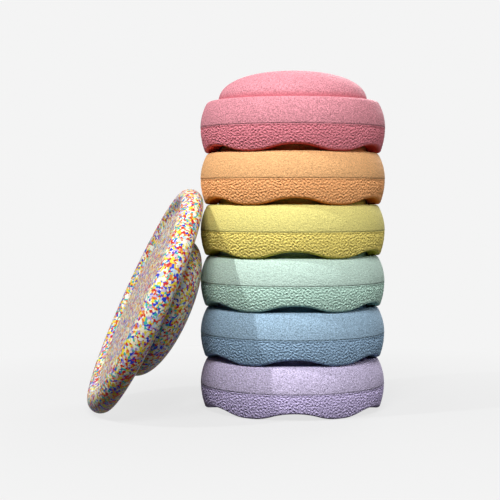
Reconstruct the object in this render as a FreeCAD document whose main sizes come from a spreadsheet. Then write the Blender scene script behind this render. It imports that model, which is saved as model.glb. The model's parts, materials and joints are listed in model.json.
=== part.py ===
import FreeCAD, Part
import math
import os
import Sketcher

# A set of nesting foam stepping stones stacked in a tower, and a round balance board that leans on it.
# +Z is up, the origin is on the floor under the tower's axis, the board stands at -X and the viewer at -Y.

DRIVING_SIZES = {
    # One stepping stone, from the floor up
    "StoneRadius": 137.5,
    "SeamHeight": 37.0,
    "ShoulderHeight": 76.0,
    "LowerBulgeRadius": 97.0,
    "UpperBulgeRadius": 75.0,
    "ShoulderRounding": 8.0,
    "DomeInset": 27.0,
    "DomeHeight": 45.0,
    "DomeCornerRadius": 30.0,
    "SeamGrooveWidth": 1.4,
    "SeamGrooveDepth": 0.8,
    # The wavy rim that a stone stands on
    "WaveHeight": 9.2,
    "FootLandWidth": 12.0,
    "RimRounding": 4.0,
    # The hollow underneath, which takes the dome of the stone below
    "NestingClearance": 1.5,
    "HollowCrownRise": 11.0,
    "CrownThickness": 25.0,
    # The balance board
    "BoardRadius": 178.0,
    "RimRadius": 17.0,
    "RimEaseHeight": 4.0,
    "UndersideRadius": 126.0,
    "DishDepth": 9.0,
    "DishSlopeWidth": 20.0,
    "RockerRadius": 108.5,
    "RockerHeight": 45.3,
    "RockerCornerRadius": 30.0,
    # How the board leans on the tower
    "BoardSideStep": 43.0,
    "LeaningClearance": 0.4,
    # One overrun serves every cut
    "CutOverrun": 10.0,
}
BOARD_TILT_DEG = 65.3
BOARD_TURN_DEG = 11.2
WAVE_TURN_DEG = 1.7
LOBES = 6
FULL_TURN_DEG = 360.0
SEATING_PASSES = 12
STONES_FROM_THE_FLOOR = [
    "lilac_stone",
    "blue_stone",
    "mint_stone",
    "yellow_stone",
    "orange_stone",
    "pink_stone",
]
BOARD = "balance_board"


class Size:
    """A length that knows both its value and the formula that gives it from the sheet."""

    def __init__(self, value, formula):
        self.value = value
        self.formula = formula

    def __add__(self, other):
        return Size(self.value + other.value, f"({self.formula} + {other.formula})")

    def __sub__(self, other):
        return Size(self.value - other.value, f"({self.formula} - {other.formula})")

    def __mul__(self, factor):
        return Size(self.value * factor, f"({self.formula} * {factor})")


def size(name):
    return Size(DRIVING_SIZES[name], f"sizes.{name}")


def dome_radius():
    """The dome stands in from the widest part, which leaves the flat shoulder round it."""
    return size("StoneRadius") - size("DomeInset")


def hollow_radius():
    """The wall of the hollow stands off the dome that it takes."""
    return dome_radius() + size("NestingClearance")


def rim_reach():
    """How far out the rim's flat foot reaches before its edge is rounded."""
    lower, seam = size("LowerBulgeRadius").value, size("SeamHeight").value
    return size("StoneRadius").value - lower + math.sqrt(lower**2 - seam**2)


def shoulder_edge():
    """The centre of the shoulder's rounded edge, which touches the side from within."""
    rounding = size("ShoulderRounding")
    inner = (size("UpperBulgeRadius") - rounding).value
    height = (size("ShoulderHeight") - rounding).value
    rise = height - size("SeamHeight").value
    reach = (size("StoneRadius") - size("UpperBulgeRadius")).value + math.sqrt(inner**2 - rise**2)
    return reach, height


def make_sheet(doc):
    """One row for each driving size: its name, and its value with that name as alias."""
    sheet = doc.addObject("Spreadsheet::Sheet", "sizes")
    for row, (name, value) in enumerate(DRIVING_SIZES.items(), start=1):
        sheet.set(f"A{row}", name)
        sheet.set(f"B{row}", str(value))
        sheet.setAlias(f"B{row}", name)
    doc.recompute()


def origin_item(body, role):
    return next(item for item in body.Origin.OriginFeatures if item.Role == role)


def upright_sketch(body, name, distance=None):
    """A sketch on an upright plane, through the axis or at a distance in front of it."""
    sketch = body.newObject("Sketcher::SketchObject", name)
    sketch.AttachmentSupport = [(origin_item(body, "XZ_Plane"), "")]
    sketch.MapMode = "FlatFace"
    if distance is not None:
        sketch.setExpression("AttachmentOffset.Base.z", distance.formula)
    return sketch


class Outline:
    """A closed outline of lines and arcs in a sketch, with its corners and radii bound to the sheet."""

    def __init__(self, sketch, x, y):
        self.sketch = sketch
        self.here = (x, y)
        self.first = None
        self.last = None

    def bind(self, kind, place, length):
        index = self.sketch.addConstraint(Sketcher.Constraint(kind, *place, length.value))
        self.sketch.setExpression(f"Constraints[{index}]", length.formula)

    def hold(self, place, x=None, y=None):
        """Holds a point at its distances from the vertical and the horizontal axis, or on an axis."""
        for kind, length, axis in (("DistanceX", x, -2), ("DistanceY", y, -1)):
            if length == 0:
                self.sketch.addConstraint(Sketcher.Constraint("PointOnObject", *place, axis))
            elif length is not None:
                self.bind(kind, place, length)

    def join(self, geometry, near, far, smooth):
        if self.last is None:
            self.first = (geometry, near)
        else:
            kind = "Tangent" if smooth else "Coincident"
            self.sketch.addConstraint(Sketcher.Constraint(kind, *self.last, geometry, near))
        self.last = (geometry, far)

    def line(self, end, smooth=False):
        start = FreeCAD.Vector(*self.here, 0)
        geometry = self.sketch.addGeometry(Part.LineSegment(start, FreeCAD.Vector(*end, 0)), False)
        self.join(geometry, 1, 2, smooth)
        if smooth:
            self.sketch.addConstraint(Sketcher.Constraint("Horizontal", geometry))
        self.here = end

    def arc(self, centre, end, anticlockwise, smooth=False):
        """An arc about a centre from the last point to an end point. Gives its centre and itself."""
        angles = [math.atan2(y - centre[1], x - centre[0]) for x, y in (self.here, end)]
        low, high = angles if anticlockwise else reversed(angles)
        if high < low:
            high += math.tau
        radius = math.dist(centre, self.here)
        circle = Part.Circle(FreeCAD.Vector(*centre, 0), FreeCAD.Vector(0, 0, 1), radius)
        geometry = self.sketch.addGeometry(Part.ArcOfCircle(circle, low, high), False)
        near, far = (1, 2) if anticlockwise else (2, 1)
        self.join(geometry, near, far, smooth)
        self.here = end
        return (geometry, 3), (geometry,)

    def close(self):
        self.sketch.addConstraint(Sketcher.Constraint("Coincident", *self.last, *self.first))
        if self.sketch.solve() != 0:
            raise RuntimeError(f"the outline {self.sketch.Label} doesn't solve")


def joint_of_circles(large_centre, large_radius, small_centre, small_radius):
    """Where a small circle touches the inside of a large one."""
    share = large_radius / (large_radius - small_radius)
    return tuple(large + (small - large) * share for large, small in zip(large_centre, small_centre))


def draw_dome(outline, width, base, rise, corner_radius, inwards, upwards=True):
    """Half a dome: a corner arc that stands upright at the foot, and a crown arc level on the axis."""
    up = 1 if upwards else -1
    reach = (width - corner_radius).value
    crown_radius = (reach**2 + rise.value**2 - corner_radius.value**2) / (2 * (rise - corner_radius).value)
    crown_centre = (0, base + up * (rise.value - crown_radius))
    corner_centre = (reach, base)
    joint = joint_of_circles(crown_centre, crown_radius, corner_centre, corner_radius.value)
    anticlockwise = inwards == upwards
    if inwards:
        corner = outline.arc(corner_centre, joint, anticlockwise)
        crown = outline.arc(crown_centre, (0, base + up * rise.value), anticlockwise, smooth=True)
    else:
        crown = outline.arc(crown_centre, joint, anticlockwise)
        corner = outline.arc(corner_centre, (width.value, base), anticlockwise, smooth=True)
    outline.hold(crown[0], x=0)
    outline.bind("Radius", corner[1], corner_radius)
    return corner


def draw_stone_outline(outline):
    """Half a stone's section: rim, bulging side, shoulder, dome, and the hollow underneath."""
    stone, seam = size("StoneRadius"), size("SeamHeight")
    shoulder, dome, rise = size("ShoulderHeight"), dome_radius(), size("DomeHeight")
    lower, upper = size("LowerBulgeRadius"), size("UpperBulgeRadius")
    rounding = size("ShoulderRounding")
    hollow, wall = hollow_radius(), rise
    apex = shoulder + rise
    ceiling = apex - size("CrownThickness")

    outline.line((rim_reach(), 0))
    outline.hold(outline.first, hollow, 0)
    outline.hold(outline.last, y=0)
    centre, arc = outline.arc(((stone - lower).value, seam.value), (stone.value, seam.value), True)
    outline.hold(centre, y=seam)
    outline.hold(outline.last, stone, seam)
    outline.bind("Radius", arc, lower)
    side_centre = ((stone - upper).value, seam.value)
    edge = shoulder_edge()
    touch = joint_of_circles(side_centre, upper.value, edge, rounding.value)
    centre, arc = outline.arc(side_centre, touch, True)
    outline.hold(centre, y=seam)
    outline.bind("Radius", arc, upper)
    centre, arc = outline.arc(edge, (edge[0], shoulder.value), True, smooth=True)
    outline.bind("Radius", arc, rounding)
    outline.line((dome.value, shoulder.value), smooth=True)
    outline.hold(outline.last, dome, shoulder)
    corner = draw_dome(outline, dome, shoulder.value, rise, size("DomeCornerRadius"), inwards=True)
    outline.hold(corner[0], y=shoulder)
    outline.hold(outline.last, 0, apex)
    outline.line((0, ceiling.value))
    outline.hold(outline.last, 0, ceiling)
    corner_radius = ceiling - wall - size("HollowCrownRise")
    corner = draw_dome(outline, hollow, wall.value, ceiling - wall, corner_radius, inwards=False)
    outline.hold(corner[0], y=wall)
    outline.hold(outline.last, hollow, wall)
    outline.line((hollow.value, 0))
    outline.close()


def draw_arch(outline, half_width):
    """One arch of the wavy rim: level at both feet and at its crown, over a block that clears the foot."""
    rise, depth = size("WaveHeight"), size("CutOverrun")
    radius = Size(
        (half_width.value**2 + rise.value**2) / (4 * rise.value),
        f"(({half_width.formula})^2 + {rise.formula}^2) / (4 * {rise.formula})",
    )
    wide, high, bend = half_width.value, rise.value, radius.value
    feet = (-half_width.value, half_width.value)
    arcs = [
        outline.arc((feet[0], bend), (feet[0] / 2, high / 2), True),
        outline.arc((0, high - bend), (feet[1] / 2, high / 2), False, smooth=True),
        outline.arc((feet[1], bend), (wide, 0), True, smooth=True),
    ]
    mirrored = half_width * -1
    for (centre, arc), x in zip(arcs, (mirrored, 0, half_width)):
        outline.hold(centre, x=x)
        outline.bind("Radius", arc, radius)
    outline.hold(outline.first, mirrored, 0)
    outline.hold(outline.last, x=half_width)
    outline.line((wide, -depth.value))
    outline.hold(outline.last, half_width, depth * -1)
    outline.line((-wide, -depth.value))
    outline.hold(outline.last, mirrored, depth * -1)
    outline.line((-wide, 0))
    outline.close()


def draw_seam_groove(outline):
    """The notch that the mould's parting line leaves round the widest part."""
    stone, seam = size("StoneRadius"), size("SeamHeight")
    inner = stone - size("SeamGrooveDepth")
    outer = stone + size("CutOverrun")
    low = seam - size("SeamGrooveWidth") * 0.5
    high = seam + size("SeamGrooveWidth") * 0.5
    for x, y in ((outer, low), (outer, high), (inner, high), (inner, low)):
        outline.line((x.value, y.value))
        outline.hold(outline.last, x, y)
    outline.close()


def revolve(body, kind, name, draw, start):
    """Turns an outline about the vertical axis, to add a solid or to cut one away."""
    sketch = upright_sketch(body, f"{name}_outline")
    draw(Outline(sketch, *start))
    feature = body.newObject(kind, name)
    feature.Profile = sketch
    feature.ReferenceAxis = (sketch, ["V_Axis"])
    feature.Angle = FULL_TURN_DEG
    return feature


def cut_waves(doc, body):
    """One arch that widens with its distance from the axis, repeated round the rim."""
    lobe = math.pi / LOBES
    inside = hollow_radius() * math.cos(lobe) - size("CutOverrun")
    outside = size("StoneRadius") + size("CutOverrun")
    foot = size("FootLandWidth") * (1 / (2 * math.cos(lobe)))
    sketches = []
    for name, distance in (("inner_arch", inside), ("outer_arch", outside)):
        half_width = distance * math.tan(lobe) - foot
        sketch = upright_sketch(body, name, distance)
        draw_arch(Outline(sketch, -half_width.value, 0), half_width)
        sketches.append(sketch)
    doc.recompute()
    arch = body.newObject("PartDesign::SubtractiveLoft", "arch")
    arch.Profile = sketches[0]
    arch.Sections = sketches[1:]
    arch.Ruled = True
    doc.recompute()
    waves = body.newObject("PartDesign::PolarPattern", "waves")
    waves.Originals = [arch]
    waves.Axis = (origin_item(body, "Z_Axis"), [""])
    waves.Angle = FULL_TURN_DEG
    waves.Occurrences = LOBES
    body.Tip = waves
    doc.recompute()
    return waves


def round_edges(doc, body, name, base, radius, chosen):
    """Rounds those edges of a feature whose ends and middle all pass a test on reach and height."""
    names = []
    for number, edge in enumerate(base.Shape.Edges, start=1):
        first, last = edge.ParameterRange
        points = [edge.valueAt(place) for place in (first, (first + last) / 2, last)]
        if all(chosen(math.hypot(point.x, point.y), point.z) for point in points):
            names.append(f"Edge{number}")
    fillet = body.newObject("PartDesign::Fillet", name)
    fillet.Base = (base, names)
    fillet.setExpression("Radius", radius.formula)
    doc.recompute()


def make_stone(doc, name, stones_below):
    """A stone, which stands with its foot lands on the shoulder of the stone below."""
    body = doc.addObject("PartDesign::Body", name)
    body.Label = name
    hollow = hollow_radius().value
    half_seam = size("SeamHeight").value / 2
    revolve(body, "PartDesign::Revolution", "moulding", draw_stone_outline, (hollow, 0))
    doc.recompute()
    waves = cut_waves(doc, body)
    rim_middle = (hollow + rim_reach()) / 2
    round_edges(
        doc, body, "rounded_rim", waves, size("RimRounding"),
        lambda reach, up: reach > rim_middle and up < half_seam,
    )
    inner = size("StoneRadius") - size("SeamGrooveDepth")
    low = size("SeamHeight") - size("SeamGrooveWidth") * 0.5
    revolve(body, "PartDesign::Groove", "seam_groove", draw_seam_groove, (inner.value, low.value))
    body.Placement = FreeCAD.Placement(
        FreeCAD.Vector(0, 0, 0), FreeCAD.Rotation(FreeCAD.Vector(0, 0, 1), WAVE_TURN_DEG)
    )
    body.setExpression("Placement.Base.z", f"sizes.ShoulderHeight * {stones_below}")
    doc.recompute()
    return body


def draw_board_outline(outline):
    """Half the board's section: rocker dome, round rim, soft lip and the dish that a child stands in."""
    rocker, underside = size("RockerRadius"), size("UndersideRadius")
    rim = size("RimRadius")
    rim_across = size("BoardRadius") - rim
    rim_up = rim + size("RimEaseHeight")
    crest = rim_up + rim
    floor = crest - size("DishDepth")
    dish = rim_across - size("DishSlopeWidth")

    depth = size("RockerHeight")
    corner_radius = size("RockerCornerRadius")
    corner = draw_dome(outline, rocker, 0, depth, corner_radius, inwards=False, upwards=False)
    outline.hold(outline.first, 0, depth * -1)
    outline.hold(corner[0], y=0)
    outline.hold(outline.last, rocker, 0)
    outline.line((underside.value, 0))
    outline.hold(outline.last, underside, 0)

    reach = (rim_across - underside).value
    ease_radius = (reach**2 + rim_up.value**2 - rim.value**2) / (2 * size("RimEaseHeight").value)
    ease_centre = (underside.value, ease_radius)
    rim_centre = (rim_across.value, rim_up.value)
    joint = joint_of_circles(ease_centre, ease_radius, rim_centre, rim.value)
    centre, arc = outline.arc(ease_centre, joint, True)
    outline.hold(centre, x=underside)
    centre, arc = outline.arc(rim_centre, (rim_across.value, crest.value), True, smooth=True)
    outline.hold(centre, rim_across, rim_up)
    outline.bind("Radius", arc, rim)
    outline.hold(outline.last, x=rim_across)

    wide, deep = size("DishSlopeWidth"), size("DishDepth")
    bend = Size(
        (wide.value**2 + deep.value**2) / (4 * deep.value),
        f"({wide.formula}^2 + {deep.formula}^2) / (4 * {deep.formula})",
    )
    middle = (rim_across.value - wide.value / 2, crest.value - deep.value / 2)
    centre, arc = outline.arc((rim_across.value, crest.value - bend.value), middle, True)
    outline.hold(centre, x=rim_across)
    outline.bind("Radius", arc, bend)
    bend_centre = (dish.value, (floor + bend).value)
    centre, arc = outline.arc(bend_centre, (dish.value, floor.value), False, smooth=True)
    outline.hold(centre, x=dish)
    outline.bind("Radius", arc, bend)
    outline.hold(outline.last, x=dish)
    outline.line((0, floor.value))
    outline.hold(outline.last, 0, floor)
    outline.line((0, -depth.value))
    outline.close()


def make_board(doc):
    body = doc.addObject("PartDesign::Body", BOARD)
    body.Label = BOARD
    lowest = size("RockerHeight") * -1
    revolve(body, "PartDesign::Revolution", "moulding", draw_board_outline, (0, lowest.value))
    doc.recompute()
    return body


def lean_board(body):
    """Turns and tilts the board, stands its round rim on the floor and slides it up to the tower.

    It stops clear of the widest reach of the stones at every height, so that each of them lifts past it.
    """
    rotation = FreeCAD.Rotation(FreeCAD.Vector(0, 0, 1), BOARD_TURN_DEG)
    rotation = rotation.multiply(FreeCAD.Rotation(FreeCAD.Vector(0, -1, 0), BOARD_TILT_DEG))
    rim = size("RimRadius")
    rim_centre = FreeCAD.Vector(-(size("BoardRadius") - rim).value, 0, (rim + size("RimEaseHeight")).value)
    foot = rotation.multVec(rim_centre)
    up = rim.value - foot.z
    across = -(size("StoneRadius") + size("BoardRadius") + size("RockerHeight")).value
    tower_height = size("ShoulderHeight").value * len(STONES_FROM_THE_FLOOR)
    lifting_room = Part.makeCylinder((size("StoneRadius") + size("LeaningClearance")).value, tower_height)
    for seating_pass in range(SEATING_PASSES):
        place = FreeCAD.Vector(across, -size("BoardSideStep").value, up)
        body.Placement = FreeCAD.Placement(place, rotation)
        across += lifting_room.distToShape(body.Shape)[0]
    foot_axis = rotation.multVec(FreeCAD.Vector(0, -1, 0))
    print("board's foot axis passes through", place + foot, "along", foot_axis)
    print("board's face looks along", rotation.multVec(FreeCAD.Vector(0, 0, 1)), "from", place)


def export(doc, bodies):
    """Writes each sub-part under its own name, once all of them are sound."""
    for item in doc.Objects:
        if "Invalid" in item.State or "Error" in item.State:
            raise RuntimeError(f"{item.Label} failed: {item.State}")
    for body in bodies:
        if body.Shape.isNull() or not body.Shape.isValid():
            raise RuntimeError(f"{body.Label} has no sound shape")
    os.makedirs("parts", exist_ok=True)
    for body in bodies:
        body.Shape.exportStep(os.path.join("parts", f"{body.Label}.step"))
        print(f"{body.Label}: {body.Shape.Volume:.0f} mm3")


def main():
    doc = FreeCAD.newDocument("stepping_stones")
    make_sheet(doc)
    stones = [make_stone(doc, name, below) for below, name in enumerate(STONES_FROM_THE_FLOOR)]
    board = make_board(doc)
    lean_board(board)
    export(doc, [*stones, board])


main()
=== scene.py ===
import json
import math

import bpy
import numpy as np
from mathutils import Matrix, Vector


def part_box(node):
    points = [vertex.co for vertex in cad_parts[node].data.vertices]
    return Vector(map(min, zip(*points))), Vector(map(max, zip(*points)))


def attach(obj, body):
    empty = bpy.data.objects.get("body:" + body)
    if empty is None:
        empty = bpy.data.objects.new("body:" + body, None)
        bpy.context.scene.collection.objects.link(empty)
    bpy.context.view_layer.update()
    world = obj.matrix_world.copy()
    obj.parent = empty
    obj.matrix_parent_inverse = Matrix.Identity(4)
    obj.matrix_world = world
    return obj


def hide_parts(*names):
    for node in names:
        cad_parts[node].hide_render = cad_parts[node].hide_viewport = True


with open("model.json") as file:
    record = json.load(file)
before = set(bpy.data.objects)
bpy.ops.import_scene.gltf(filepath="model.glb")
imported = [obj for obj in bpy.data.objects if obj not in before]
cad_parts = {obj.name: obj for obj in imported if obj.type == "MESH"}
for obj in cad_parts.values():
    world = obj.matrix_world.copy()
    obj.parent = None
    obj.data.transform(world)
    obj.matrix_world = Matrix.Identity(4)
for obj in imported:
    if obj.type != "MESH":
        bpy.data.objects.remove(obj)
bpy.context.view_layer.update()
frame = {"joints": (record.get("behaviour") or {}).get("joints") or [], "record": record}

MM = 0.001
STONES = ["lilac", "blue", "mint", "yellow", "orange", "pink"]
MOUNTS = {mount["name"]: mount for mount in frame["record"]["mounts"]}
JOINTS = {joint["name"]: joint for joint in frame["joints"]}

# Sizes of a stone, in metres
LOWEST_CORNER, HIGHEST_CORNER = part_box("lilac_stone")
STONE_RADIUS = (HIGHEST_CORNER.x - LOWEST_CORNER.x) / 2
STONE_HEIGHT = HIGHEST_CORNER.z - LOWEST_CORNER.z
SHOULDER_HEIGHT = MOUNTS["top_shoulder"]["pos_m"][2] / len(STONES)
SEAM_HEIGHT = 37 * MM
LOWER_BULGE_RADIUS = 97 * MM
UPPER_BULGE_RADIUS = 75 * MM
SHOULDER_ROUNDING = 8 * MM
DOME_RADIUS = 110.5 * MM
DOME_FOOT_ROUNDING = 1.5 * MM
DOME_SIDE_POWER = 2.31
DOME_TOP_POWER = 2.23
GROOVE_WIDTH = 0.9 * MM
GROOVE_DEPTH = 0.4 * MM
GROOVE_HALF_FLOOR = 0.3 * GROOVE_WIDTH
WAVE_HEIGHT = 9.2 * MM
WAVE_TURN = math.radians(1.7)
LOBES = 6
LAND_HALF_WIDTH = 6 * MM
# Under each land, so that faces that would lie exactly in each other don't count as touching
LAND_GAP = 0.02 * MM
RIM_ROUNDING = 4 * MM
RIM_CORNER = 0.2 * RIM_ROUNDING
HOLLOW_RADIUS = 112 * MM
HOLLOW_WALL_HEIGHT = 45 * MM
HOLLOW_CORNER_RADIUS = 40 * MM
HOLLOW_EDGE_ROUNDING = 1.5 * MM
CROWN_THICKNESS = 25 * MM

# Heights of the rings on the hollow's wall and on the rounded edge, as shares of each
WALL_SHARES = (0.8, 0.6, 0.4, 0.2, 0.05)
EDGE_SHARES = (0.1, 0.22, 0.34, 0.46, 0.6, 0.75, 0.9)

# How far the painted underside shade reaches into the hollow, and the painted shade in the crease at the
# dome's foot
HOLLOW_SHADE = 0.3
HOLLOW_SHADE_END = 0.3
CREASE_SHADE_HEIGHT = 10 * MM
CREASE_SHADE_SHARE = 0.8
CREASE_SHADE_LIGHT = 0.82
CREASE_SHADE_POWER = 1.8

# The coarse skin below a stone's seam
CRINKLE_LENGTHS = (4.4 * MM, 2.3 * MM)
CRINKLE_SPREAD = (0.7, 1.3)
CRINKLE_DEPTH = 1.5 * MM
CRINKLE_WAVES = 48
CRINKLE_SEED = 7
CRINKLE_ROWS = 44
CRINKLE_FADE = 1.2 * MM

# How many points a ring has
FINE_SEGMENTS = 1280
MIDDLE_SEGMENTS = 640
PLAIN_SEGMENTS = 320
HIDDEN_SEGMENTS = 160
BOARD_SEGMENTS = 400
FLOOR_SEGMENTS = 64

# Sizes of the board
BOARD_RADIUS = 178 * MM
RIM_RADIUS = 17 * MM
RIM_EASE = 4 * MM
# How far up the rim's ease the painted crease shade reaches
RIM_CREASE_SHADE = 3 * MM
UNDERSIDE_RADIUS = 126 * MM
DISH_DEPTH = 9 * MM
DISH_SLOPE = 20 * MM
ROCKER_RADIUS = 108.5 * MM
ROCKER_HEIGHT = 45.3 * MM
ROCKER_POWER = 2.35
# How far down the rocker dome the painted crease shade reaches
ROCKER_CREASE_SHADE = 11 * MM

# The photograph's view: distances in metres, angles in degrees
CAMERA_PLACE = (0, -1.921, 0.3129)
CAMERA_PITCH = 2.31
CAMERA_YAW = 1.896
FOCAL_PIXELS = 1281.9
IMAGE_PIXELS = 500
SENSOR = 36


def srgb(red, green, blue):
    """A colour written as 0 to 255 sRGB, as linear values with alpha."""
    shares = [value / 255 for value in (red, green, blue)]
    return (*(s / 12.92 if s <= 0.04045 else ((s + 0.055) / 1.055) ** 2.4 for s in shares), 1)


def grey(level):
    return (level, level, level, 1)


# Colours of the smooth skin, of the coarse band with painted light and shade, and of the underside with
# painted shade
FOAM_COLOURS = {
    "lilac": srgb(195, 184, 215),
    "blue": srgb(147, 174, 195),
    "mint": srgb(183, 207, 195),
    "yellow": srgb(211, 200, 120),
    "orange": srgb(218, 165, 112),
    "pink": srgb(196, 128, 138),
}
# Each stone's colour again for the coarse band, set lighter and fuller than the smooth skin's: painted light
# and shade that stand in for how that band is lit
COARSE_PAINTED_LIGHT_COLOURS = {
    "lilac": srgb(210, 196, 237),
    "blue": srgb(149, 178, 204),
    "mint": srgb(191, 224, 209),
    "yellow": srgb(236, 216, 118),
    "orange": srgb(245, 174, 115),
    "pink": srgb(213, 125, 137),
}
# Painted shade: darker, fuller colours for the underside, the rim's lower edge and the hollow, standing in
# for shade and coloured bounce light
UNDERSIDE_SHADE_COLOURS = {
    "lilac": srgb(168, 150, 200),
    "blue": srgb(112, 148, 182),
    "mint": srgb(150, 196, 180),
    "yellow": srgb(204, 190, 52),
    "orange": srgb(232, 126, 24),
    "pink": srgb(212, 62, 54),
}

# How strongly the grain of each foam shows on its smooth skin
GRAIN_SHARES = {"lilac": 2.0, "blue": 1.7, "mint": 1.0, "yellow": 0.9, "orange": 1.3, "pink": 2.0}

# The grain of the stones' foam: its spots, and how far it darkens and lightens each skin
MOTTLE_SIZE = 2.6 * MM
MOTTLE_RANGE = (0.3, 0.7)
GRAIN_SIZE = 1.6 * MM
GRAIN_RANGE = (0.28, 0.72)
BEAD_SIZE = 3.2 * MM
SMOOTH_TONES = (-0.26, 0.25)
ROUGH_TONES = (0.7, 1.25)
# Painted shade in the coarse band's pits and painted light on its ridges, and how much of it shows
PIT_SHADE_TONES = (1.14, 0.77)
PIT_SHADE_SHARE = 0.85
FOAM_ROUGHNESS = (0.72, 0.86)
FOAM_SPECULAR = 0.25

# The board's foam: shares of the colours among its beads, each from its number up to the next
CONFETTI = [
    (0.00, srgb(181, 22, 24)),
    (0.20, srgb(24, 51, 184)),
    (0.36, srgb(214, 197, 46)),
    (0.57, srgb(208, 115, 35)),
    (0.68, srgb(44, 164, 154)),
    (0.81, srgb(161, 139, 199)),
    (0.87, srgb(226, 220, 190)),
]
PALE_BEADS = [
    (0.00, srgb(217, 220, 213)),
    (0.36, srgb(220, 213, 184)),
    (0.64, srgb(170, 192, 209)),
    (0.75, srgb(203, 177, 178)),
    (0.90, srgb(177, 165, 203)),
]
PALE_BEAD_SIZE = 8.2 * MM
BRIGHT_BEAD_SIZE = 3.3 * MM
WOBBLE_SIZE = 5 * MM
WOBBLE_REACH = 3 * MM

# The chance of a bright bead, near a pale bead's edge and further in
BRIGHT_CHANCES = [(0.10, grey(0.90)), (0.32, grey(0.22))]
# Painted shade in the crease between the rim and the rocker dome, and on the underside's flat
BOARD_CREASE_SHADE_COLOUR = srgb(58, 50, 44)
BOARD_CREASE_SHADE_SHARE = 0.7
BOARD_GRAIN_SIZE = 1.5 * MM
BOARD_ROUGHNESS = [(0.3, grey(0.6)), (0.7, grey(0.75))]
BOARD_SPECULAR = 0.35

# The floor, and the faint shadow on it round the object
BACKGROUND = srgb(244, 244, 244)
FLOOR_BOUNCE = grey(0.03)
FLOOR_COLOUR = srgb(175, 175, 175)
FLOOR_RADIUS = 6.0
SHADOW_START = 0.2
SHADOW_REACH = 0.8
SHADOW_SHARE = 0.2

# Strength of the world's light from below, from the sides and from above
WORLD_LEVELS = (0.0, 0.02, 0.06)

# The lamps, in metres and watts: each shines along its direction at the middle of the tower
LAMPS = {
    "key": dict(direction=(0.574, 0.34, -0.779), distance=2.4, width=0.03, height=0.03, watts=35),
    "front": dict(direction=(0.06, 0.71, -0.70), distance=2.6, width=1.0, height=0.6, watts=68),
    "right": dict(direction=(-0.76, 0.5, -0.42), distance=1.5, width=0.5, height=0.4, watts=5.0),
    "top": dict(direction=(0.0, 0.1, -1.0), distance=2.0, width=1.0, height=1.0, watts=4),
    "back": dict(direction=(-0.3, -0.82, -0.48), distance=2.6, width=1.2, height=0.8, watts=48),
}


# Meshes made of rings of points round an axis

# What each point of a skin carries: how coarse, how deep in a pit, how much painted underside shade, how much
# painted crease shade
SKIN = ("coarse", "pit", "inside", "crease")


class Rings:
    """Rings of points, each joined to the one before, which may have twice or half as many points."""

    def __init__(self):
        self.points = []
        self.skin = {name: [] for name in SKIN}
        self.faces = []
        self.count = 0
        self.last = None

    def add(self, reach, height, segments, **skin):
        """One ring. Reach, height and the skin's values are single numbers or one for each point."""
        turn = around(segments)
        reach = np.broadcast_to(reach, turn.shape)
        height = np.broadcast_to(height, turn.shape)
        self.points.append(np.column_stack([reach * np.cos(turn), reach * np.sin(turn), height]))
        for name in SKIN:
            self.skin[name].append(np.broadcast_to(skin.get(name, 0.0), turn.shape))
        ring = self.count + np.arange(segments)
        self.count += segments
        if self.last is not None:
            self.join(self.last, ring)
        self.last = ring

    def join(self, low, high):
        if len(low) == len(high):
            columns = [low, np.roll(low, -1), np.roll(high, -1), high]
        elif len(low) == 2 * len(high):
            columns = [low[::2], low[1::2], np.roll(low[::2], -1), np.roll(high, -1), high]
        else:
            columns = [low, np.roll(low, -1), np.roll(high[::2], -1), high[1::2], high[::2]]
        self.faces += np.column_stack(columns).tolist()

    def tip(self, height, first=False):
        """A point on the axis that closes the last ring, or the first one."""
        self.points.append(np.array([[0, 0, height]]))
        for name in SKIN:
            self.skin[name].append(np.zeros(1))
        ring = np.arange(len(self.last)) if first else self.last
        pairs = np.column_stack([np.roll(ring, -1), ring] if first else [ring, np.roll(ring, -1)])
        self.faces += [[a, b, self.count] for a, b in pairs.tolist()]
        self.count += 1

    def mesh(self, name):
        mesh = bpy.data.meshes.new(name)
        mesh.from_pydata(np.concatenate(self.points).tolist(), [], self.faces)
        mesh.update()
        mesh.shade_smooth()
        for skin_name, values in self.skin.items():
            skin = mesh.attributes.new(skin_name, "FLOAT", "POINT")
            skin.data.foreach_set("value", np.concatenate(values).astype(np.float32))
        return mesh


def around(segments):
    """The angles of a ring's points."""
    return np.arange(segments) * (math.tau / segments)


def between(start, end, points):
    """Evenly spaced values from start to end, without the first, which the section already has."""
    return np.linspace(start, end, points)[1:]


def arc(centre, radius, start, end, points):
    """Points of an arc in the section, from one angle in degrees to another, without the first."""
    turns = np.radians(between(start, end, points))
    return list(zip(centre[0] + radius * np.cos(turns), centre[1] + radius * np.sin(turns)))


def dome_point(lift, radius, height, side_power, top_power):
    """A point of a dome's section, from its foot (lift 0) to its top (lift a right angle)."""
    return radius * math.cos(lift) ** (2 / side_power), height * math.sin(lift) ** (2 / top_power)


def add_object(name, data):
    item = bpy.data.objects.new(name, data)
    bpy.context.scene.collection.objects.link(item)
    return item


# The stones

def side_reach(height):
    """How far the bulging side stands out at a height."""
    bulge = np.where(height < SEAM_HEIGHT, LOWER_BULGE_RADIUS, UPPER_BULGE_RADIUS)
    return STONE_RADIUS - bulge + np.sqrt(bulge**2 - (height - SEAM_HEIGHT) ** 2)


EDGE_REACH = side_reach(0.0)


def wave(reach, turn):
    """Height of the wavy rim's underside: an arch between two level lands, six times round."""
    lobe = math.tau / LOBES
    offset = np.mod(turn + math.pi / 2 - WAVE_TURN + lobe / 2, lobe) - lobe / 2
    half = reach * np.cos(offset) * math.tan(lobe / 2) - LAND_HALF_WIDTH / math.cos(lobe / 2)
    across = np.minimum(np.abs(reach * np.sin(offset)), half)
    bend = (half**2 + WAVE_HEIGHT**2) / (4 * WAVE_HEIGHT)
    crown = WAVE_HEIGHT - bend + np.sqrt(bend**2 - np.minimum(across, half / 2) ** 2)
    foot = bend - np.sqrt(bend**2 - np.minimum(half - across, half / 2) ** 2)
    return LAND_GAP + np.where(across < half / 2, crown, foot)


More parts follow.
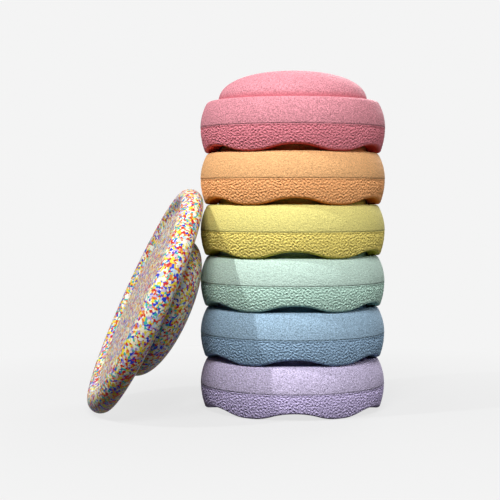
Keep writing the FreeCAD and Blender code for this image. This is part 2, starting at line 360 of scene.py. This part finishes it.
def crinkle(along, up):
    """Wrinkles between 0 and 1: long and short waves in all directions, which close round the stone."""
    random = np.random.default_rng(CRINKLE_SEED)
    total = np.zeros(np.broadcast(along, up).shape)
    for length in CRINKLE_LENGTHS:
        for wave_number in range(CRINKLE_WAVES):
            direction = math.tau * wave_number / CRINKLE_WAVES
            frequency = math.tau / length * random.uniform(*CRINKLE_SPREAD)
            turns = round(frequency * math.cos(direction) * STONE_RADIUS)
            rise = frequency * math.sin(direction)
            share = math.sqrt(length / CRINKLE_LENGTHS[0])
            total += share * np.cos(along * turns + up * rise + random.uniform(0, math.tau))
    return 0.5 + 0.5 * np.tanh(total / math.sqrt(CRINKLE_WAVES))


def add_hollow(rings):
    """From the middle of the ceiling down to the top of the wall."""
    ceiling = STONE_HEIGHT - CROWN_THICKNESS
    rise = ceiling - HOLLOW_WALL_HEIGHT
    reach = HOLLOW_RADIUS - HOLLOW_CORNER_RADIUS
    crown = (reach**2 + rise**2 - HOLLOW_CORNER_RADIUS**2) / (2 * (rise - HOLLOW_CORNER_RADIUS))
    joint = math.degrees(math.atan2(crown - rise, reach))
    section = arc((0, ceiling - crown), crown, 90, joint, points=16)
    section += arc((reach, HOLLOW_WALL_HEIGHT), HOLLOW_CORNER_RADIUS, joint, 0, points=10)
    # Painted shade: the hollow's ceiling gets a share of the underside's shade colour
    for x, z in section:
        rings.add(x, z, HIDDEN_SEGMENTS, inside=HOLLOW_SHADE)
    rings.tip(ceiling, first=True)


def add_rim(rings):
    """The hollow's wall, its mouth and the wavy underside."""
    turn = around(PLAIN_SEGMENTS)
    inner_wave = wave(HOLLOW_RADIUS, turn)
    low = inner_wave + HOLLOW_EDGE_ROUNDING
    # Painted shade: the underside's shade colour, a share of it high on the hollow's wall and all of it lower
    # down, round the mouth and on the wavy underside
    for share in WALL_SHARES:
        tone = HOLLOW_SHADE if share > HOLLOW_SHADE_END else 1.0
        rings.add(HOLLOW_RADIUS, low + (HOLLOW_WALL_HEIGHT - low) * share, PLAIN_SEGMENTS, inside=tone)
    for angle in np.radians((180, 210, 240, 270)):
        x = HOLLOW_RADIUS + HOLLOW_EDGE_ROUNDING * (1 + math.cos(angle))
        z = inner_wave + HOLLOW_EDGE_ROUNDING * (1 + math.sin(angle))
        rings.add(x, z, PLAIN_SEGMENTS, inside=1.0)
    for reach in between(HOLLOW_RADIUS + HOLLOW_EDGE_ROUNDING, EDGE_REACH - RIM_ROUNDING, points=8):
        rings.add(reach, wave(reach, turn), PLAIN_SEGMENTS, inside=1.0)


def add_coarse_side(rings):
    """The rounded edge and the crinkled band up to the seam."""
    inner = EDGE_REACH - RIM_ROUNDING
    for share in EDGE_SHARES:
        segments = MIDDLE_SEGMENTS if share == EDGE_SHARES[0] else FINE_SEGMENTS
        turn = around(segments)
        low = wave(EDGE_REACH, turn)
        start = low + RIM_ROUNDING
        corner = side_reach(low + RIM_CORNER)
        x = (1 - share) ** 2 * inner + 2 * share * (1 - share) * corner + share**2 * side_reach(start)
        z = (1 - share**2) * low + share**2 * start
        pit = crinkle(turn, z) * share
        # Painted shade: the underside's shade colour fades out up the rounded edge
        rings.add(x - CRINKLE_DEPTH * pit, z, segments, coarse=1.0, pit=pit, inside=1 - share)
    turn = around(FINE_SEGMENTS)
    start = wave(EDGE_REACH, turn) + RIM_ROUNDING
    top = SEAM_HEIGHT - GROOVE_WIDTH / 2
    for row in range(CRINKLE_ROWS + 1):
        z = start + (top - start) * row / CRINKLE_ROWS
        pit = crinkle(turn, z) * np.clip((top - z) / CRINKLE_FADE, 0, 1)
        rings.add(side_reach(z) - CRINKLE_DEPTH * pit, z, FINE_SEGMENTS, coarse=1.0, pit=pit)


def add_upper_side(rings):
    """The seam's groove, the smooth band, the rounded shoulder, its flat and the dome."""
    groove = STONE_RADIUS - GROOVE_DEPTH
    rings.add(groove, SEAM_HEIGHT - GROOVE_HALF_FLOOR, MIDDLE_SEGMENTS)
    rings.add(groove, SEAM_HEIGHT + GROOVE_HALF_FLOOR, PLAIN_SEGMENTS)
    inner = UPPER_BULGE_RADIUS - SHOULDER_ROUNDING
    rise = SHOULDER_HEIGHT - SHOULDER_ROUNDING - SEAM_HEIGHT
    centre = STONE_RADIUS - UPPER_BULGE_RADIUS + math.sqrt(inner**2 - rise**2)
    slope = math.asin(rise / inner)
    high = SEAM_HEIGHT + UPPER_BULGE_RADIUS * math.sin(slope)
    for z in np.linspace(SEAM_HEIGHT + GROOVE_WIDTH / 2, high, 18):
        rings.add(side_reach(z), z, PLAIN_SEGMENTS)
    middle = (centre, SHOULDER_HEIGHT - SHOULDER_ROUNDING)
    for x, z in arc(middle, SHOULDER_ROUNDING, math.degrees(slope), 90, points=9):
        rings.add(x, z, PLAIN_SEGMENTS)
    foot = DOME_RADIUS + DOME_FOOT_ROUNDING
    # Painted shade in the crease at the dome's foot: growing across the flat, full round the foot's rounding
    # and fading up the dome
    for x in between(centre, foot, points=5):
        crease = CREASE_SHADE_SHARE * (x - centre) / (foot - centre)
        rings.add(x, SHOULDER_HEIGHT, PLAIN_SEGMENTS, crease=crease)
    middle = (foot, SHOULDER_HEIGHT + DOME_FOOT_ROUNDING)
    for x, z in arc(middle, DOME_FOOT_ROUNDING, 270, 195, points=5):
        rings.add(x, z, PLAIN_SEGMENTS, crease=CREASE_SHADE_SHARE)
    dome_height = STONE_HEIGHT - SHOULDER_HEIGHT
    first = math.asin((DOME_FOOT_ROUNDING / dome_height) ** (DOME_TOP_POWER / 2))
    for lift in between(first, math.pi / 2, points=40)[:-1]:
        x, rise = dome_point(lift, DOME_RADIUS, dome_height, DOME_SIDE_POWER, DOME_TOP_POWER)
        crease = CREASE_SHADE_SHARE * max(0, 1 - rise / CREASE_SHADE_HEIGHT)
        segments = PLAIN_SEGMENTS if x > DOME_RADIUS / 2 else HIDDEN_SEGMENTS
        rings.add(x, SHOULDER_HEIGHT + rise, segments, crease=crease)
    rings.tip(STONE_HEIGHT)


def make_stone(colour, stones_below, material):
    rings = Rings()
    add_hollow(rings)
    add_rim(rings)
    add_coarse_side(rings)
    add_upper_side(rings)
    mesh = rings.mesh(f"{colour}_stone_skin")
    mesh.transform(Matrix.Translation((0, 0, SHOULDER_HEIGHT * stones_below)))
    mesh.materials.append(material)
    stone = add_object(mesh.name, mesh)
    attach(stone, f"{colour}_stone")
    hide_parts(f"{colour}_stone")


# The balance board

def add_underside(rings, rim_across, rim_up):
    """From the middle of the rocker dome out to the crest of the round rim."""
    # Painted shade in the crease: full on the flat between rocker and rim, fading down the rocker dome and up
    # the rim's ease
    for lift in between(math.pi / 2, 0, points=46):
        x, drop = dome_point(lift, ROCKER_RADIUS, ROCKER_HEIGHT, ROCKER_POWER, ROCKER_POWER)
        rings.add(x, -drop, BOARD_SEGMENTS, crease=max(0, 1 - drop / ROCKER_CREASE_SHADE))
    rings.tip(-ROCKER_HEIGHT, first=True)
    for x in between(ROCKER_RADIUS, UNDERSIDE_RADIUS, points=7):
        rings.add(x, 0, BOARD_SEGMENTS, crease=1.0)
    run = rim_across - UNDERSIDE_RADIUS
    ease = (run**2 + rim_up**2 - RIM_RADIUS**2) / (2 * RIM_EASE)
    joint = math.degrees(math.atan2(rim_up - ease, run))
    for x, z in arc((UNDERSIDE_RADIUS, ease), ease, -90, joint, points=14):
        rings.add(x, z, BOARD_SEGMENTS, crease=max(0, 1 - z / RIM_CREASE_SHADE))
    for x, z in arc((rim_across, rim_up), RIM_RADIUS, joint, 90, points=36):
        rings.add(x, z, BOARD_SEGMENTS)


def add_dish(rings, rim_across, crest):
    """From the rim's crest down the slope to the middle of the dish."""
    floor = crest - DISH_DEPTH
    bend = (DISH_SLOPE**2 + DISH_DEPTH**2) / (4 * DISH_DEPTH)
    slope = math.degrees(math.asin(DISH_SLOPE / 2 / bend))
    foot = rim_across - DISH_SLOPE
    section = arc((rim_across, crest - bend), bend, 90, 90 + slope, points=10)
    section += arc((foot, floor + bend), bend, slope - 90, -90, points=10)
    section += [(x, floor) for x in between(foot, 0, points=60)[:-1]]
    for x, z in section:
        rings.add(x, z, BOARD_SEGMENTS)
    rings.tip(floor)


def make_board(material):
    rim_across = BOARD_RADIUS - RIM_RADIUS
    rim_up = RIM_RADIUS + RIM_EASE
    crest = rim_up + RIM_RADIUS
    rings = Rings()
    add_underside(rings, rim_across, rim_up)
    add_dish(rings, rim_across, crest)
    mesh = rings.mesh("balance_board_skin")

    face = MOUNTS["standing_face"]
    normal = Vector(face["axis"]).normalized()
    foot_axis = Vector(JOINTS["tip_board"]["axis"]).normalized()
    centre = Vector(face["pos_m"]) - normal * (crest - DISH_DEPTH)
    turn = Matrix((foot_axis, normal.cross(foot_axis), normal)).transposed().to_4x4()
    mesh.transform(Matrix.Translation(centre) @ turn)
    mesh.materials.append(material)
    board = add_object(mesh.name, mesh)
    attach(board, "balance_board")
    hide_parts("balance_board")


# Materials

class Tree:
    """Adds nodes to a material or a world and joins them."""

    def __init__(self, owner):
        owner.use_nodes = True
        self.nodes = owner.node_tree.nodes
        self.links = owner.node_tree.links

    def node(self, kind, inputs=None, **settings):
        node = self.nodes.new(kind)
        for key, value in settings.items():
            setattr(node, key, value)
        for key, value in (inputs or {}).items():
            self.put(value, node.inputs[key])
        return node

    def put(self, value, socket):
        if isinstance(value, bpy.types.NodeSocket):
            self.links.new(value, socket)
        else:
            socket.default_value = value

    def math(self, operation, first, second):
        return self.node("ShaderNodeMath", {0: first, 1: second}, operation=operation).outputs[0]

    def vector_math(self, operation, inputs):
        return self.node("ShaderNodeVectorMath", inputs, operation=operation).outputs

    def blend(self, *parts):
        """The sum of the values, each times its share."""
        total, *others = [self.math("MULTIPLY", value, share) for value, share in parts]
        for part in others:
            total = self.math("ADD", total, part)
        return total

    def mix(self, share, first, second):
        """A colour between the first one (share 0) and the second one (share 1)."""
        node = self.node("ShaderNodeMix", {0: share}, data_type="RGBA")
        self.put(first, node.inputs[6])
        self.put(second, node.inputs[7])
        return node.outputs[2]

    def ramp(self, value, stops, constant=False):
        node = self.node("ShaderNodeValToRGB", {0: value})
        node.color_ramp.interpolation = "CONSTANT" if constant else "LINEAR"
        elements = node.color_ramp.elements
        while len(elements) < len(stops):
            elements.new(0.5)
        for element, (place, colour) in zip(elements, stops):
            element.position = place
            element.color = colour
        return node.outputs[0]

    def spread(self, value, low, high, start=0.0, end=1.0):
        """The value with the part between low and high stretched to start to end."""
        return self.node("ShaderNodeMapRange", {0: value, 1: low, 2: high, 3: start, 4: end}).outputs[0]

    def skin(self, name):
        """One of the values that the points of a skin carry."""
        return self.node("ShaderNodeAttribute", attribute_name=name).outputs["Fac"]

    def place(self):
        return self.node("ShaderNodeTexCoord").outputs["Object"]

    def noise(self, place, size, detail=2.0):
        inputs = {"Vector": place, "Scale": 1 / size, "Detail": detail}
        return self.node("ShaderNodeTexNoise", inputs).outputs

    def beads(self, place, size, feature="F1"):
        inputs = {"Vector": place, "Scale": 1 / size, "Randomness": 1.0}
        return self.node("ShaderNodeTexVoronoi", inputs, feature=feature).outputs

    def bead_edges(self, place, size):
        """How far a point lies from the edge of its bead."""
        return self.beads(place, size, feature="DISTANCE_TO_EDGE")["Distance"]

    def bump(self, height, strength, distance, under=None):
        """A normal that follows the height, on top of the normal of another bump."""
        inputs = {"Height": height, "Strength": strength, "Distance": distance}
        if under is not None:
            inputs["Normal"] = under
        return self.node("ShaderNodeBump", inputs).outputs[0]

    def seen(self):
        """1 for rays that come straight from the camera, off gloss or through glass, 0 for the others."""
        rays = self.node("ShaderNodeLightPath").outputs
        indirect = self.math("MAXIMUM", rays["Is Glossy Ray"], rays["Is Transmission Ray"])
        return self.math("MAXIMUM", rays["Is Camera Ray"], indirect)


def scaled(colour, factor):
    return (*(min(value * factor, 1) for value in colour[:3]), 1)


def crease_shade_colour(colour):
    """Painted shade: the darker and fuller colour put in the crease at the dome's foot."""
    peak = max(colour[:3])
    return (*(CREASE_SHADE_LIGHT * peak * (value / peak) ** CREASE_SHADE_POWER for value in colour[:3]), 1)


def foam_material(name, colour, coarse_painted_light_colour, underside_shade_colour, grain_share):
    """Moulded bead foam of one colour: mottled grain and a dull skin, with painted light and shade on the
    coarse band and in its pits, and painted shade under the rim and in the crease at the dome's foot.
    """
    material = bpy.data.materials.new(name)
    t = Tree(material)
    surface = t.nodes["Principled BSDF"].inputs
    place = t.place()
    mottle = t.spread(t.noise(place, MOTTLE_SIZE, detail=1.0)["Fac"], *MOTTLE_RANGE)
    grain = t.spread(t.noise(place, GRAIN_SIZE, detail=0.5)["Fac"], *GRAIN_RANGE)
    tone = t.blend((mottle, 0.25), (grain, 0.65), (t.beads(place, BEAD_SIZE)["Color"], 0.1))

    smooth_skin = t.mix(tone, *(scaled(colour, 1 + grain_share * share) for share in SMOOTH_TONES))
    toned = t.mix(tone, *(scaled(coarse_painted_light_colour, share) for share in ROUGH_TONES))
    # Painted shade in the pits, painted light on the ridges
    pit_shaded = t.mix(t.skin("pit"), *(scaled(coarse_painted_light_colour, share) for share in PIT_SHADE_TONES))
    rough_skin = t.mix(PIT_SHADE_SHARE, toned, pit_shaded)
    outside = t.mix(t.skin("coarse"), smooth_skin, rough_skin)
    # Painted shade in the crease at the dome's foot
    outside = t.mix(t.skin("crease"), outside, crease_shade_colour(colour))
    # Painted shade under the rim, round the mouth and in the hollow
    t.put(t.mix(t.skin("inside"), outside, underside_shade_colour), surface["Base Color"])

    dull, duller = (grey(level) for level in FOAM_ROUGHNESS)
    t.put(t.ramp(grain, [(0.0, dull), (1.0, duller)]), surface["Roughness"])
    dents = t.bump(t.bead_edges(place, BEAD_SIZE), strength=0.3, distance=0.4 * MM)
    swell = t.bump(mottle, strength=0.8, distance=0.4 * MM, under=dents)
    t.put(t.bump(grain, strength=1.0, distance=0.3 * MM, under=swell), surface["Normal"])
    surface["Specular IOR Level"].default_value = FOAM_SPECULAR
    return material


def confetti_material(name):
    """Pale foam beads of all sizes with small bright ones packed along their edges."""
    material = bpy.data.materials.new(name)
    t = Tree(material)
    surface = t.nodes["Principled BSDF"].inputs
    place = t.place()
    wobble = t.noise(place, WOBBLE_SIZE, detail=1.0)["Color"]
    shift = t.vector_math("ADD", {0: wobble, 1: (-0.5, -0.5, -0.5)})[0]
    shift = t.vector_math("SCALE", {0: shift, "Scale": WOBBLE_REACH})[0]
    bent = t.vector_math("ADD", {0: place, 1: shift})[0]

    pale = t.node("ShaderNodeSeparateColor", {0: t.beads(bent, PALE_BEAD_SIZE)["Color"]}).outputs
    small = t.node("ShaderNodeSeparateColor", {0: t.beads(bent, BRIGHT_BEAD_SIZE)["Color"]}).outputs
    pale_colour = t.ramp(pale[0], PALE_BEADS, constant=True)
    bright_colour = t.ramp(small[0], CONFETTI, constant=True)
    chance = t.ramp(t.bead_edges(bent, PALE_BEAD_SIZE), BRIGHT_CHANCES)
    colour = t.mix(t.math("LESS_THAN", small[1], chance), pale_colour, bright_colour)
    # Painted shade in the crease between the rim and the rocker dome
    crease = t.math("MULTIPLY", t.skin("crease"), BOARD_CREASE_SHADE_SHARE)
    t.put(t.mix(crease, colour, BOARD_CREASE_SHADE_COLOUR), surface["Base Color"])

    grain = t.noise(place, BOARD_GRAIN_SIZE)["Fac"]
    t.put(t.ramp(grain, BOARD_ROUGHNESS), surface["Roughness"])
    dents = t.bump(t.bead_edges(bent, BRIGHT_BEAD_SIZE), strength=0.5, distance=0.4 * MM)
    t.put(t.bump(grain, strength=0.4, distance=0.3 * MM, under=dents), surface["Normal"])
    surface["Specular IOR Level"].default_value = BOARD_SPECULAR
    return material


# Floor, light and camera

def floor_material(name):
    """Looks like the backdrop, apart from the soft shadow near the object."""
    material = bpy.data.materials.new(name)
    t = Tree(material)
    shader = t.nodes["Principled BSDF"]
    shader.inputs["Roughness"].default_value = 1.0
    shader.inputs["Specular IOR Level"].default_value = 0.0
    seen = t.seen()
    t.put(t.mix(seen, FLOOR_BOUNCE, FLOOR_COLOUR), shader.inputs["Base Color"])
    distance = t.vector_math("LENGTH", {0: t.place()})["Value"]
    far = t.spread(distance, SHADOW_START, SHADOW_REACH, start=1 - SHADOW_SHARE)
    glow = t.node("ShaderNodeEmission", {"Color": BACKGROUND, "Strength": 1.0}).outputs[0]
    glowing = t.math("MULTIPLY", seen, far)
    mix = t.node("ShaderNodeMixShader", {0: glowing, 1: shader.outputs[0], 2: glow}).outputs[0]
    t.put(mix, t.nodes["Material Output"].inputs["Surface"])
    return material


def make_floor(material):
    corners = [(FLOOR_RADIUS * math.cos(a), FLOOR_RADIUS * math.sin(a), 0) for a in around(FLOOR_SEGMENTS)]
    mesh = bpy.data.meshes.new("floor")
    mesh.from_pydata(corners, [], [list(range(FLOOR_SEGMENTS))])
    mesh.materials.append(material)
    floor = add_object("floor", mesh)


def make_world():
    """Soft light, brighter from above, with the pale background behind it."""
    world = bpy.data.worlds.new("studio")
    t = Tree(world)
    bpy.context.scene.world = world
    direction = t.node("ShaderNodeTexCoord").outputs["Generated"]
    height = t.node("ShaderNodeSeparateXYZ", {0: direction}).outputs["Z"]
    levels = [(place, grey(level)) for place, level in zip((0, 0.5, 1), WORLD_LEVELS)]
    light = t.nodes["Background"]
    t.put(grey(1), light.inputs["Color"])
    t.put(t.ramp(t.spread(height, -1.0, 1.0), levels), light.inputs["Strength"])
    backdrop = t.node("ShaderNodeBackground", {"Color": BACKGROUND, "Strength": 1.0}).outputs[0]
    mix = t.node("ShaderNodeMixShader", {0: t.seen(), 1: light.outputs[0], 2: backdrop}).outputs[0]
    t.put(mix, t.nodes["World Output"].inputs["Surface"])


def make_lamp(name, direction, distance, width, height, watts):
    """A soft box that shines along a direction at the middle of the tower."""
    lamp = bpy.data.lights.new(name, "AREA")
    lamp.shape = "RECTANGLE"
    lamp.size = width
    lamp.size_y = height
    lamp.energy = watts
    item = add_object(name, lamp)
    item.visible_camera = False
    aim = Vector(direction).normalized()
    item.location = Vector((0, 0, SHOULDER_HEIGHT * len(STONES) / 2)) - aim * distance
    item.rotation_euler = aim.to_track_quat("-Z", "Y").to_euler()


def make_camera():
    data = bpy.data.cameras.new("camera")
    data.sensor_width = SENSOR
    data.lens = FOCAL_PIXELS * SENSOR / IMAGE_PIXELS
    camera = add_object("camera", data)
    camera.location = CAMERA_PLACE
    camera.rotation_euler = (math.radians(90 - CAMERA_PITCH), 0, math.radians(CAMERA_YAW))
    bpy.context.scene.camera = camera


for stones_below, colour in enumerate(STONES):
    foam = foam_material(
        f"{colour}_bead_foam",
        FOAM_COLOURS[colour],
        COARSE_PAINTED_LIGHT_COLOURS[colour],
        UNDERSIDE_SHADE_COLOURS[colour],
        GRAIN_SHARES[colour],
    )
    make_stone(colour, stones_below, foam)
make_board(confetti_material("confetti_bead_foam"))
make_floor(floor_material("pale_floor"))
make_world()
for name, lamp in LAMPS.items():
    make_lamp(name, **lamp)
make_camera()
bpy.context.scene.view_settings.view_transform = "Standard"
